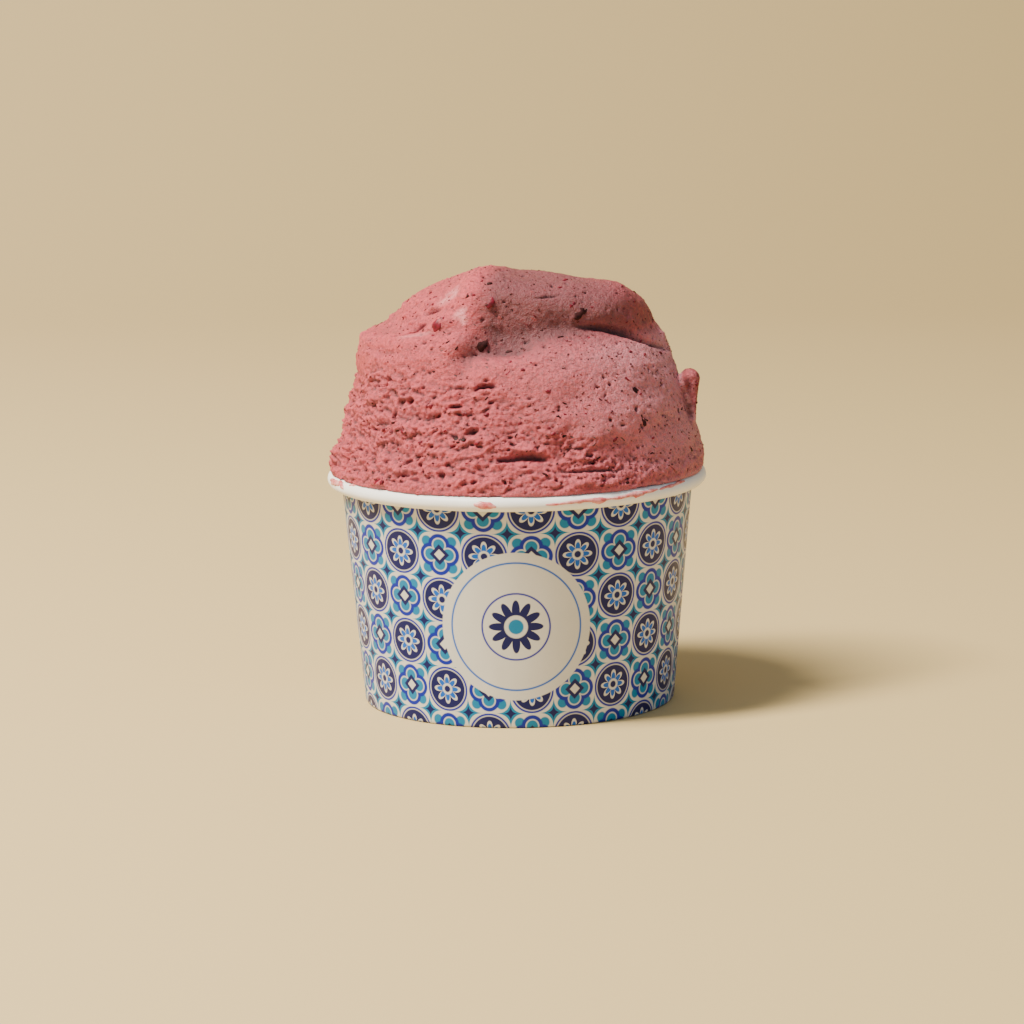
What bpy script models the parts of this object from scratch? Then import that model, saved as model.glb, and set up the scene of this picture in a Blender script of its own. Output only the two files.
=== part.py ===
"""A paper gelato cup with its serving: rolled-rim wall, crimped base disc and the heaped gelato.

The cup stands on its foot ring at z = 0, centred on the Z axis. The front of the heap faces -Y.
"""

from math import acos, atan2, cos, degrees, exp, pi, radians, sin

import bmesh
import bpy

MM = 0.001

# Cup
CUP_HEIGHT = 55.5 * MM
RIM_RADIUS = 45.0 * MM
ROLL_RADIUS = 1.85 * MM
FOOT_RADIUS = 36.9 * MM
PAPER = 0.5 * MM
GAP = 0.3 * MM
SEGMENTS = 64
CURL_SWEEP = radians(292)
CURL_STEPS = 7

# Crimp under the base: the wall turns in and up, and holds the base's skirt
CRIMP_HEIGHT = 6.0 * MM
CRIMP_CORNER = 0.3 * MM
DISC_HEIGHT = 7.0 * MM
SKIRT_FOOT = 1.2 * MM

# Body of the heap. A turn is measured in degrees from the front, positive to the right
BODY_TOP = 98.0 * MM
SHOULDER_HEIGHT = 78.0 * MM
BROW_HEIGHT = 58.0 * MM
BODY_RADIUS = 36.2 * MM
FLARE = 7.8 * MM
FLARE_FALL = 13.0 * MM
DOME_POWER = 2.4
LEDGE_HEIGHT = 87.5 * MM
LEDGE_DEPTH = 2.6 * MM
HEAP_SEGMENTS = 60
DOME_RINGS = 9
SKIRT_RINGS = 9
RIM_RINGS = 4
FILL_RINGS = 4

# Cap: the last stroke of the spatula, laid over the body from left to right
CAP_TOP = 101.5 * MM
CAP_SHIFT = 2.0 * MM
CAP_UNDER = 4.5 * MM
LIP_HEIGHT = 89.5 * MM
LIP_RISE = 7.5 * MM
LIP_DROP = 2.0 * MM
LIP_RADIUS = 30.3 * MM
LIP_OVERHANG = 3.8 * MM
SUMMIT_RISE = 2.4 * MM
SUMMIT_SHIFT = 5.5 * MM
SUMMIT_WIDTH = 10.5 * MM
CAP_SEGMENTS = 48
CAP_RINGS = 16

# Petal: a torn flap that stands off the right side, rooted at its foot and thick at its tip
PETAL_OUTER = 43.2 * MM
PETAL_FRONT = 7.0 * MM
PETAL_HEIGHT = 72.3 * MM
PETAL_HALF_WIDTH = 3.4 * MM
PETAL_HALF_TALL = 7.4 * MM
PETAL_STEM = 0.9 * MM
PETAL_TIP = 2.2 * MM


def wall_slope():
    """Widening of the wall, in metres of radius for each metre of height."""
    wall_top = RIM_RADIUS - 2 * ROLL_RADIUS + PAPER / 2
    return (wall_top - FOOT_RADIUS + PAPER / 2) / (CUP_HEIGHT - ROLL_RADIUS)


def wall_middle(height):
    """Radius of the middle of the paper at this height."""
    return FOOT_RADIUS - PAPER / 2 + wall_slope() * height


def fill_radius(height):
    """Radius of the gelato inside the cup, clear of the paper."""
    return wall_middle(height) - PAPER / 2 - GAP


def new_material(name, colour, roughness):
    material = bpy.data.materials.new(name)
    material.use_nodes = True
    shader = material.node_tree.nodes["Principled BSDF"]
    shader.inputs["Base Color"].default_value = (*colour, 1.0)
    shader.inputs["Roughness"].default_value = roughness
    material.diffuse_color = (*colour, 1.0)
    return material


def new_collection(name, hidden=False):
    collection = bpy.data.collections.new(name)
    bpy.context.scene.collection.children.link(collection)
    collection.hide_render = hidden
    return collection


def add_mesh(name, bm, collection, material):
    mesh = bpy.data.meshes.new(name)
    bm.to_mesh(mesh)
    bm.free()
    mesh.shade_smooth()
    mesh.set_sharp_from_angle(angle=radians(40))
    mesh.materials.append(material)
    piece = bpy.data.objects.new(name, mesh)
    collection.objects.link(piece)
    return piece


def turned_paper(name, path, collection, material):
    """Paper of even thickness, turned round the Z axis from a path of (radius, height)."""
    bm = bmesh.new()
    points = [bm.verts.new((radius, 0, height)) for radius, height in path]
    for first, second in zip(points, points[1:]):
        bm.edges.new((first, second))
    piece = add_mesh(name, bm, collection, material)
    screw = piece.modifiers.new("Turn", "SCREW")
    screw.steps = screw.render_steps = SEGMENTS
    screw.use_merge_vertices = True
    screw.merge_threshold = 0.00001
    screw.use_smooth_shade = True
    solidify = piece.modifiers.new("Paper", "SOLIDIFY")
    solidify.thickness = PAPER
    solidify.offset = 0
    solidify.use_even_offset = True
    return piece


def make_sidewall(collection, material):
    """Curl of the rim, tapered wall and the crimp that turns in under the base."""
    middle_radius = RIM_RADIUS - ROLL_RADIUS
    middle_height = CUP_HEIGHT - ROLL_RADIUS
    curl = ROLL_RADIUS - PAPER / 2
    path = []
    for step in range(CURL_STEPS, -1, -1):
        angle = pi - CURL_SWEEP * step / CURL_STEPS
        path.append((middle_radius + curl * cos(angle), middle_height + curl * sin(angle)))
    foot = PAPER / 2
    crimp = wall_middle(0) - 2 * (PAPER + GAP)
    path += [
        (wall_middle(foot + CRIMP_CORNER), foot + CRIMP_CORNER),
        (wall_middle(0) - CRIMP_CORNER, foot),
        (crimp + CRIMP_CORNER, foot),
        (crimp, foot + CRIMP_CORNER),
        (crimp + wall_slope() * CRIMP_HEIGHT, CRIMP_HEIGHT),
    ]
    return turned_paper("cup_sidewall", path, collection, material)


def make_base(collection, material):
    """Flat disc with its skirt turned down into the crimp."""
    skirt = PAPER + GAP
    corner = 2 * CRIMP_CORNER
    path = [
        (0, DISC_HEIGHT),
        (wall_middle(DISC_HEIGHT) - skirt - corner, DISC_HEIGHT),
        (wall_middle(DISC_HEIGHT - corner) - skirt, DISC_HEIGHT - corner),
        (wall_middle(SKIRT_FOOT) - skirt, SKIRT_FOOT),
    ]
    return turned_paper("cup_base", path, collection, material)


def swell(turn, centre, width):
    """Smooth rise to 1 at one turn from the front, in degrees, falling off over the width."""
    away = (turn - centre + 180) % 360 - 180
    return exp(-((away / width) ** 2))


def band(height, centre, width):
    """Smooth rise to 1 at one height, falling off over the width."""
    return exp(-(((height - centre) / width) ** 2))


def body_radius(turn, height):
    """Radius of the heap's body: a flared skirt over the rim under a rounded shoulder."""
    radius = BODY_RADIUS + FLARE * exp((BROW_HEIGHT - height) / FLARE_FALL)
    if height > SHOULDER_HEIGHT:
        rise = (height - SHOULDER_HEIGHT) / (BODY_TOP - SHOULDER_HEIGHT)
        radius *= max(1 - rise**DOME_POWER, 0) ** (1 / DOME_POWER)
    ledge_fall = 0.9 * MM if height > LEDGE_HEIGHT else 2.5 * MM
    radius += LEDGE_DEPTH * swell(turn, -75, 40) * exp(-abs(height - LEDGE_HEIGHT) / ledge_fall)
    radius += 1.6 * MM * swell(turn, 45, 45) * band(height, 72 * MM, 9 * MM)
    radius -= 1.4 * MM * swell(turn, -15, 40) * band(height, 84 * MM, 5 * MM)
    radius += 0.9 * MM * swell(turn, -90, 50) * band(height, 66 * MM, 9 * MM)
    radius += 2.0 * MM * swell(turn, 88, 32) * band(height, 65 * MM, 8 * MM)
    return min(radius, RIM_RADIUS - GAP)


def body_ring(turn, ring):
    """Radius and height of one ring of the body, counted from its top to the floor of the cup."""
    if ring <= DOME_RINGS:
        height = SHOULDER_HEIGHT + (BODY_TOP - SHOULDER_HEIGHT) * cos(pi / 2 * ring / DOME_RINGS)
        return body_radius(turn, height), height
    ring -= DOME_RINGS
    if ring <= SKIRT_RINGS:
        height = SHOULDER_HEIGHT + (BROW_HEIGHT - SHOULDER_HEIGHT) * ring / SKIRT_RINGS
        return body_radius(turn, height), height
    ring -= SKIRT_RINGS
    if ring <= RIM_RINGS:
        angle = radians(50) + (pi - radians(50)) * (ring - 1) / (RIM_RINGS - 1)
        clear = ROLL_RADIUS + GAP
        radius = RIM_RADIUS - ROLL_RADIUS + clear * cos(angle)
        return radius, CUP_HEIGHT - ROLL_RADIUS + clear * sin(angle)
    ring -= RIM_RINGS
    top = CUP_HEIGHT - ROLL_RADIUS
    floor = DISC_HEIGHT + PAPER / 2 + GAP
    if ring <= FILL_RINGS:
        height = top + (floor + 1.5 * MM - top) * ring / FILL_RINGS
        return fill_radius(height), height
    return fill_radius(floor) - 1.5 * MM, floor


def shaped_ball(name, segments, rings, place, collection, material):
    """A sphere whose points are moved: place(turn, ring) gives radius, height and shift in X."""
    bm = bmesh.new()
    bmesh.ops.create_uvsphere(bm, u_segments=segments, v_segments=rings, radius=1)
    for vert in bm.verts:
        turn = atan2(vert.co.x, -vert.co.y)
        ring = round(acos(max(-1, min(1, vert.co.z))) / pi * rings)
        radius, height, shift = place(degrees(turn), ring)
        if ring in (0, rings):
            radius = 0
        vert.co = (radius * sin(turn) + shift, -radius * cos(turn), height)
    return add_mesh(name, bm, collection, material)


def make_body(collection, material):
    rings = DOME_RINGS + SKIRT_RINGS + RIM_RINGS + FILL_RINGS + 2

    def place(turn, ring):
        radius, height = body_ring(turn, ring)
        return radius, height, 0

    return shaped_ball("gelato", HEAP_SEGMENTS, rings, place, collection, material)


def make_cap(collection, material):
    """Thick slab over the body, whose lip stands proud of it at the front right."""

    def place(turn, ring):
        lip_height = LIP_HEIGHT + LIP_RISE * swell(turn, 25, 28) - LIP_DROP * swell(turn, 88, 25)
        lip_radius = LIP_RADIUS + LIP_OVERHANG * swell(turn, 60, 55)
        tilt = pi / 2 - pi * ring / CAP_RINGS
        power = 2.2 + 0.4 * sin(radians(turn)) if tilt > 0 else 2
        tall = CAP_TOP - lip_height if tilt > 0 else CAP_UNDER
        out = abs(cos(tilt)) ** power / lip_radius**power + abs(sin(tilt)) ** power / tall**power
        reach = out ** (-1 / power)
        radius = reach * cos(tilt)
        shift = -CAP_SHIFT * (1 - radius / lip_radius)
        height = lip_height + reach * sin(tilt)
        if tilt > 0:
            across = radius * sin(radians(turn)) + shift + SUMMIT_SHIFT
            along = radius * cos(radians(turn))
            height += SUMMIT_RISE * exp(-(across**2 + along**2) / SUMMIT_WIDTH**2)
        return radius, height, shift

    return shaped_ball("cap", CAP_SEGMENTS, CAP_RINGS, place, collection, material)


def make_petal(collection, material):
    """Blade with an upright outer face, thin at its root and rounded at its tip."""
    bm = bmesh.new()
    bmesh.ops.create_uvsphere(bm, u_segments=16, v_segments=10, radius=1)
    for vert in bm.verts:
        across, along, up = vert.co
        blend = (1 + up) / 2
        half = PETAL_STEM + (PETAL_TIP - PETAL_STEM) * blend * blend
        middle = PETAL_OUTER - half - 0.8 * MM * (1 - blend)
        vert.co = (
            middle + half * across,
            -PETAL_FRONT + PETAL_HALF_WIDTH * along,
            PETAL_HEIGHT + PETAL_HALF_TALL * up,
        )
    return add_mesh("petal", bm, collection, material)


def join(piece, tool):
    """Boolean union, so that the serving stays one solid."""
    union = piece.modifiers.new("Join " + tool.name, "BOOLEAN")
    union.operation = "UNION"
    union.solver = "EXACT"
    union.object = tool
    tool.hide_render = True
    tool.display_type = "WIRE"


def main():
    for leftover in list(bpy.data.objects):
        bpy.data.objects.remove(leftover, do_unlink=True)
    parts = new_collection("gelato_cup")
    tools = new_collection("union_tools", hidden=True)

    white_paper = new_material("white paper", (0.84, 0.82, 0.77), 0.45)
    base_paper = new_material("base paper", (0.78, 0.76, 0.71), 0.55)
    berry_gelato = new_material("berry gelato", (0.50, 0.17, 0.16), 0.50)

    make_sidewall(parts, white_paper)
    make_base(parts, base_paper)
    gelato = make_body(parts, berry_gelato)
    join(gelato, make_cap(tools, berry_gelato))
    join(gelato, make_petal(tools, berry_gelato))


main()
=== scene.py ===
"""Looks of the printed paper cup with its heap of berry gelato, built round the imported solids."""

from math import cos, pi, radians, sin

import bmesh
import bpy
import numpy as np
from mathutils import Matrix, Vector, noise
from mathutils.bvhtree import BVHTree


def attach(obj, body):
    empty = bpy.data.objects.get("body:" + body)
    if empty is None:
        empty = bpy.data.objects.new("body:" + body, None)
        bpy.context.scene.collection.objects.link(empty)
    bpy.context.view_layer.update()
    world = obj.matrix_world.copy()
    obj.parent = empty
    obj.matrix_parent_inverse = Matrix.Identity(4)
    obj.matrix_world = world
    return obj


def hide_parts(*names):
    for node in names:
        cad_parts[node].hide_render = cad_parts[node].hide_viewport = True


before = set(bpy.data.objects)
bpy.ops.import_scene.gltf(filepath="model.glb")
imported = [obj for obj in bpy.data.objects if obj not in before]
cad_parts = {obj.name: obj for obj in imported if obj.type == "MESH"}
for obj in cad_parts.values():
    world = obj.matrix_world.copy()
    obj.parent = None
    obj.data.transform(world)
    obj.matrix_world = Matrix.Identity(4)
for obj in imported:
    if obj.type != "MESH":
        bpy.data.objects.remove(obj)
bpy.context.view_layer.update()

# Base disc
# The floor of the cup is a flat disc of white board. Its edge is turned down as a skirt, which
# is glued between the side wall and the crimp. It carries the gelato and shows from below.
MM = 0.001
PAPER = 0.5 * MM
GLUE_LINE = 0.3 * MM
RIM_RADIUS = 45.0 * MM
FOOT_RADIUS = 36.9 * MM
CUP_HEIGHT = 55.5 * MM
ROLL_RADIUS = 1.85 * MM
WIDENING = (RIM_RADIUS - 2 * ROLL_RADIUS + PAPER - FOOT_RADIUS) / (CUP_HEIGHT - ROLL_RADIUS)
DISC_HEIGHT = 7.0 * MM
SKIRT_FOOT = 1.2 * MM
DISC_BEND = 0.9 * MM
SEAM_SHARE = 0.0001
LAP_EASE = 1.3
WAVES_ROUND = 1.6
WAVES_UP = 40.0
WELD = 0.002 * MM
BOARD_WHITE = (0.93, 0.915, 0.88, 1)
BOARD_SHADE = (0.87, 0.845, 0.80, 1)
BOARD_ROUGHNESS = 0.5


def wall_middle(height):
    """Radius of the middle of the side wall's paper at this height."""
    return FOOT_RADIUS - PAPER / 2 + WIDENING * height


def bent(path, bend, parts=5):
    """The path with each corner replaced by a short bend."""
    soft = [path[0]]
    for before, corner, after in zip(path, path[1:], path[2:]):
        start = corner + (before - corner).normalized() * bend
        end = corner + (after - corner).normalized() * bend
        for part in range(parts + 1):
            blend = part / parts
            first = start.lerp(corner, blend)
            soft.append(first.lerp(corner.lerp(end, blend), blend))
    return soft + [path[-1]]


def paper_outline(path):
    """Closed outline of the paper: the printed face along the path, then the other face back."""
    printed = []
    plain = []
    for place, point in enumerate(path):
        along = path[min(place + 1, len(path) - 1)] - path[max(place - 1, 0)]
        across = Vector((along.y, -along.x)).normalized() * PAPER / 2
        printed.append(point - across)
        plain.append(point + across)
    return printed + plain[::-1]


def wire(tree, kind, *values, **options):
    """Adds a node, fills its shown inputs in order, and returns its first shown output."""
    made = tree.nodes.new(kind)
    for option, choice in options.items():
        setattr(made, option, choice)
    shown = [socket for socket in made.inputs if socket.enabled]
    for socket, value in zip(shown, values):
        if isinstance(value, bpy.types.NodeSocket):
            tree.links.new(value, socket)
        elif value is not None:
            socket.default_value = value
    return next((socket for socket in made.outputs if socket.enabled), made)


def fill(tree, inputs, **values):
    """Joins or sets the inputs with these names, written with _ for a space."""
    for label, value in values.items():
        socket = inputs[label.replace("_", " ")]
        if isinstance(value, bpy.types.NodeSocket):
            tree.links.new(value, socket)
        else:
            socket.default_value = value


def calc(tree, operation, *values, clamp=False):
    return wire(tree, "ShaderNodeMath", *values, operation=operation, use_clamp=clamp)


def whole(tree, operation, *values):
    return wire(tree, "FunctionNodeIntegerMath", *values, operation=operation)


def new_tree(name, kind, inputs, outputs):
    """A node group with named inputs, each with its kind and default, and named outputs."""
    tree = bpy.data.node_groups.new(name, kind)
    for label, (holds, default) in inputs.items():
        socket = tree.interface.new_socket(label, in_out="INPUT", socket_type="NodeSocket" + holds)
        if default is not None:
            socket.default_value = default
    for label, holds in outputs.items():
        tree.interface.new_socket(label, in_out="OUTPUT", socket_type="NodeSocket" + holds)
    return tree, tree.nodes.new("NodeGroupInput").outputs, tree.nodes.new("NodeGroupOutput").inputs


def wound_paper_tree():
    """Winds a paper outline at +X round the Z axis. Its ends lap, so the outside has a step."""
    tree, given, made = new_tree(
        "wound paper",
        "GeometryNodeTree",
        {
            "Outline": ("Geometry", None),
            "Columns": ("Int", 240),
            "Lap Turn": ("Float", 0.0),
            "Lap Step": ("Float", 0.0),
            "Lap Width": ("Float", 0.2),
            "Unevenness": ("Float", 0.0),
            "Board": ("Material", None),
        },
        {"Paper": "Geometry"},
    )
    outline = given["Outline"]
    count = wire(tree, "GeometryNodeAttributeDomainSize", outline, component="MESH")
    rows = whole(tree, "ADD", count, 1)
    lines = whole(tree, "ADD", given["Columns"], 1)
    grid = wire(tree, "GeometryNodeMeshGrid", 1.0, 1.0, lines, rows)
    index = wire(tree, "GeometryNodeInputIndex")
    column = whole(tree, "DIVIDE_FLOOR", index, rows)
    row = whole(tree, "MODULO", index, rows)
    place = wire(tree, "GeometryNodeInputPosition")
    outline_row = whole(tree, "MODULO", row, count)
    sample = "GeometryNodeSampleIndex"
    corner = wire(tree, sample, outline, place, outline_row, data_type="FLOAT_VECTOR")
    section = wire(tree, "ShaderNodeSeparateXYZ", corner).node.outputs

    last = calc(tree, "SUBTRACT", given["Columns"], 1)
    wound = calc(tree, "DIVIDE", calc(tree, "MINIMUM", column, last), last)
    closing = calc(tree, "GREATER_THAN", column, calc(tree, "ADD", last, 0.5))
    share = calc(tree, "MULTIPLY", wound, 1 - SEAM_SHARE)
    share = calc(tree, "ADD", share, calc(tree, "MULTIPLY", closing, SEAM_SHARE))
    angle = calc(tree, "MULTIPLY", share, 2 * pi)
    turn = calc(tree, "ADD", angle, given["Lap Turn"])
    unit = wire(tree, "ShaderNodeCombineXYZ", calc(tree, "SINE", turn), calc(tree, "COSINE", turn), 0.0)

    lap_end = calc(tree, "MULTIPLY", given["Lap Width"], LAP_EASE)
    lapped = wire(
        tree,
        "ShaderNodeMapRange",
        angle,
        given["Lap Width"],
        lap_end,
        1.0,
        0.0,
        interpolation_type="SMOOTHSTEP",
    )
    lapped = calc(tree, "MAXIMUM", lapped, closing)
    step = calc(tree, "MULTIPLY", lapped, given["Lap Step"])
    waves = (WAVES_ROUND, WAVES_ROUND, WAVES_ROUND)
    spread = wire(tree, "ShaderNodeVectorMath", unit, waves, operation="MULTIPLY")
    lift = calc(tree, "MULTIPLY", section["Z"], WAVES_UP)
    lift = wire(tree, "ShaderNodeCombineXYZ", 0.0, 0.0, lift)
    spot = wire(tree, "ShaderNodeVectorMath", spread, lift, operation="ADD")
    wave = wire(tree, "ShaderNodeTexNoise", spot, None, 1.0, 1.0, noise_dimensions="3D")
    wave = calc(tree, "MULTIPLY", calc(tree, "SUBTRACT", wave, 0.5), given["Unevenness"])
    off_axis = calc(tree, "GREATER_THAN", section["X"], 0.0001)
    extra = calc(tree, "MULTIPLY", calc(tree, "ADD", step, wave), off_axis)
    radius = calc(tree, "ADD", section["X"], extra)
    x = calc(tree, "MULTIPLY", radius, calc(tree, "SINE", turn))
    y = calc(tree, "MULTIPLY", radius, calc(tree, "MULTIPLY", calc(tree, "COSINE", turn), -1.0))
    target = wire(tree, "ShaderNodeCombineXYZ", x, y, section["Z"])

    moved = wire(tree, "GeometryNodeSetPosition", grid, None, target)
    front = calc(tree, "LESS_THAN", calc(tree, "ADD", row, 0.5), calc(tree, "DIVIDE", count, 2.0))
    print_map = wire(tree, "ShaderNodeCombineXYZ", share, section["Z"], 0.0)
    bake_map = wire(tree, "ShaderNodeCombineXYZ", share, row, 0.0)
    store = "GeometryNodeStoreNamedAttribute"
    for label, value, read_as, kept_as in (
        ("print", print_map, "FLOAT_VECTOR", "FLOAT2"),
        ("OFBake", bake_map, "FLOAT_VECTOR", "FLOAT2"),
        ("printed", front, "FLOAT", "FLOAT"),
    ):
        value = wire(tree, "GeometryNodeFieldOnDomain", value, data_type=read_as, domain="POINT")
        moved = wire(tree, store, moved, None, label, value, data_type=kept_as, domain="CORNER")
    merged = wire(tree, "GeometryNodeMergeByDistance", moved, None, WELD)
    smooth = wire(tree, "GeometryNodeSetShadeSmooth", merged)
    real = wire(tree, "GeometryNodeRealizeInstances", smooth)
    tree.links.new(wire(tree, "GeometryNodeSetMaterial", real, None, given["Board"]), made["Paper"])
    return tree


def placed(name, data):
    """A new object in the scene."""
    piece = bpy.data.objects.new(name, data)
    bpy.context.scene.collection.objects.link(piece)
    return piece


def as_mesh(lump):
    """The mesh that the object's modifiers make. It takes the place of the object."""
    seen = lump.evaluated_get(bpy.context.evaluated_depsgraph_get())
    mesh = bpy.data.meshes.new_from_object(seen)
    bpy.data.objects.remove(lump, do_unlink=True)
    return mesh


def grown(name, start, tree, values):
    """A plain mesh object from what the node tree makes of the starting mesh."""
    seed_piece = placed(name + " start", start)
    modifier = seed_piece.modifiers.new("Grow", "NODES")
    modifier.node_group = tree
    for item in tree.interface.items_tree:
        if item.in_out == "INPUT" and item.name in values:
            modifier[item.identifier] = values[item.name]
    mesh = as_mesh(seed_piece)
    mesh.name = name
    return placed(name, mesh)


def outline_mesh(name, path):
    """The paper's closed outline as a ring of edges at +X."""
    ring = [(point.x, 0, point.y) for point in paper_outline(path)]
    mesh = bpy.data.meshes.new(name)
    mesh.from_pydata(ring, [(place, (place + 1) % len(ring)) for place in range(len(ring))], [])
    return mesh


def new_material(name):
    """A material, with its tree and its Principled shader."""
    material = bpy.data.materials.new(name)
    material.use_nodes = True
    return material, material.node_tree, material.node_tree.nodes["Principled BSDF"].inputs


def texture(tree, scale, detail, roughness):
    """Noise over a piece, in its own space."""
    place = tree.nodes.new("ShaderNodeTexCoord").outputs["Object"]
    return wire(tree, "ShaderNodeTexNoise", place, scale, detail, roughness)


def paper_fibre_group():
    """Fibres and mottling of board: a tone for the colour and a height for the bump."""
    tree, given, made = new_tree(
        "paper fibre",
        "ShaderNodeTree",
        {
            "Fibre Scale": ("Float", 2200.0),
            "Mottle Scale": ("Float", 120.0),
        },
        {"Tone": "Float", "Height": "Float"},
    )
    fibre = texture(tree, given["Fibre Scale"], 3.0, 0.6)
    cloud = texture(tree, given["Mottle Scale"], 3.0, 0.5)
    tone = calc(tree, "MULTIPLY_ADD", fibre, 0.35, calc(tree, "MULTIPLY", cloud, 0.65))
    fill(tree, made, Tone=tone, Height=calc(tree, "MULTIPLY_ADD", cloud, 0.6, fibre))
    return tree


PAPER_FIBRE = paper_fibre_group()
WOUND_PAPER = wound_paper_tree()


def place_group(tree, group, **values):
    """Puts a shader group in a material's tree and returns its outputs."""
    made = tree.nodes.new("ShaderNodeGroup")
    made.node_tree = group
    fill(tree, made.inputs, **values)
    return made.outputs


def mix_colour(tree, share, first, second):
    return wire(tree, "ShaderNodeMix", share, first, second, data_type="RGBA")


white_board, tree, shader = new_material("white board")
fibre = place_group(tree, PAPER_FIBRE)
fill(
    tree,
    shader,
    Base_Color=mix_colour(tree, fibre["Tone"], BOARD_SHADE, BOARD_WHITE),
    Roughness=BOARD_ROUGHNESS,
    Subsurface_Weight=0.1,
    Subsurface_Radius=(1.0, 0.9, 0.8),
    Subsurface_Scale=0.4 * MM,
    Normal=wire(tree, "ShaderNodeBump", 0.25, 0.06 * MM, None, fibre["Height"]),
)

skirt_gap = PAPER + GLUE_LINE
disc_path = [
    Vector((0, DISC_HEIGHT)),
    Vector((wall_middle(DISC_HEIGHT) - skirt_gap, DISC_HEIGHT)),
    Vector((wall_middle(SKIRT_FOOT) - skirt_gap, SKIRT_FOOT)),
]
disc_path = bent(disc_path, DISC_BEND)
disc_outline = outline_mesh("disc outline", disc_path)
base_disc = grown("base_disc", disc_outline, WOUND_PAPER, {"Columns": 180, "Board": white_board})
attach(base_disc, "root")
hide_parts("cup_base")

# Side wall
# One fan-shaped blank of coated board, printed flat, wound round and glued along a lap at the
# back. Its top is rolled outwards into the rim, so the rim shows the blank's white inner face.
# Its foot is turned in and up, and crimps the skirt of the base disc.
CURL_PARTS = 30
CURL_SWEEP = radians(355)
CURL_TIGHTENING = 0.35
WALL_PARTS = 14
CRIMP_HEIGHT = 6.0 * MM
FOOT_BEND = 0.45 * MM
LAP_TURN = radians(172)
LAP_STEP = 0.35 * MM
LAP_WIDTH = 0.2
WALL_UNEVENNESS = 0.22 * MM

TILES_ROUND = 23.4
TILE_HEIGHT = 10.7 * MM
TILE_FOOT = 3.6 * MM
PRINT_TOP = 52.0 * MM
LABEL_TURN = radians(-1)
LABEL_HEIGHT = 24.4 * MM
LABEL_RADIUS = 17.6 * MM
GROUND = (0.66, 0.635, 0.565, 1)
NAVY = (0.003, 0.006, 0.085, 1)
ROYAL = (0.002, 0.016, 0.30, 1)
MID_BLUE = (0.003, 0.11, 0.50, 1)
TEAL = (0.002, 0.19, 0.38, 1)


def rim_and_wall_path():
    """Middle line of the blank, from the end of the roll round to the end of the crimp."""
    centre = Vector((RIM_RADIUS - ROLL_RADIUS, CUP_HEIGHT - ROLL_RADIUS))
    curl = ROLL_RADIUS - PAPER / 2
    path = []
    for part in range(CURL_PARTS, -1, -1):
        share = part / CURL_PARTS
        angle = pi - CURL_SWEEP * share
        radius = curl * (1 - CURL_TIGHTENING * max(0, share - 0.55))
        path.append(centre + Vector((cos(angle), sin(angle))) * radius)
    for part in range(1, WALL_PARTS):
        height = centre.y * (1 - part / WALL_PARTS)
        path.append(Vector((wall_middle(height), height)))
    foot = PAPER / 2
    crimp = wall_middle(0) - 2 * (PAPER + GLUE_LINE)
    turned_in = [
        path[-1],
        Vector((wall_middle(foot), foot)),
        Vector((crimp, foot)),
        Vector((crimp + WIDENING * CRIMP_HEIGHT, CRIMP_HEIGHT)),
    ]
    return path[:-1] + bent(turned_in, FOOT_BEND, 4)


def away(tree, x, y, middle_x, middle_y):
    """Distance of the point x, y from a middle point."""
    across = calc(tree, "SUBTRACT", x, middle_x)
    along = calc(tree, "SUBTRACT", y, middle_y)
    square = calc(tree, "MULTIPLY_ADD", across, across, calc(tree, "MULTIPLY", along, along))
    return calc(tree, "SQRT", square)


def ramp(tree, value, low, high, least=0.0, most=1.0):
    """Goes evenly from least to most as the value goes from low to high."""
    return wire(tree, "ShaderNodeMapRange", value, low, high, least, most)


def inside(tree, distance, reach, softness):
    """1 where the distance is under the reach, with a soft edge."""
    low = calc(tree, "SUBTRACT", reach, softness)
    high = calc(tree, "ADD", reach, softness)
    return ramp(tree, distance, low, high, 1.0, 0.0)


def inks(tree, ground, distance, rings, softness=0.012):
    """Prints each colour in turn where the distance is under its reach."""
    for reach, colour in rings:
        ground = mix_colour(tree, inside(tree, distance, reach, softness), ground, colour)
    return ground


def value_of(tree, label):
    """The value that a piece's mesh holds under this name."""
    return wire(tree, "ShaderNodeAttribute", attribute_name=label).node.outputs["Fac"]


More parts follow.
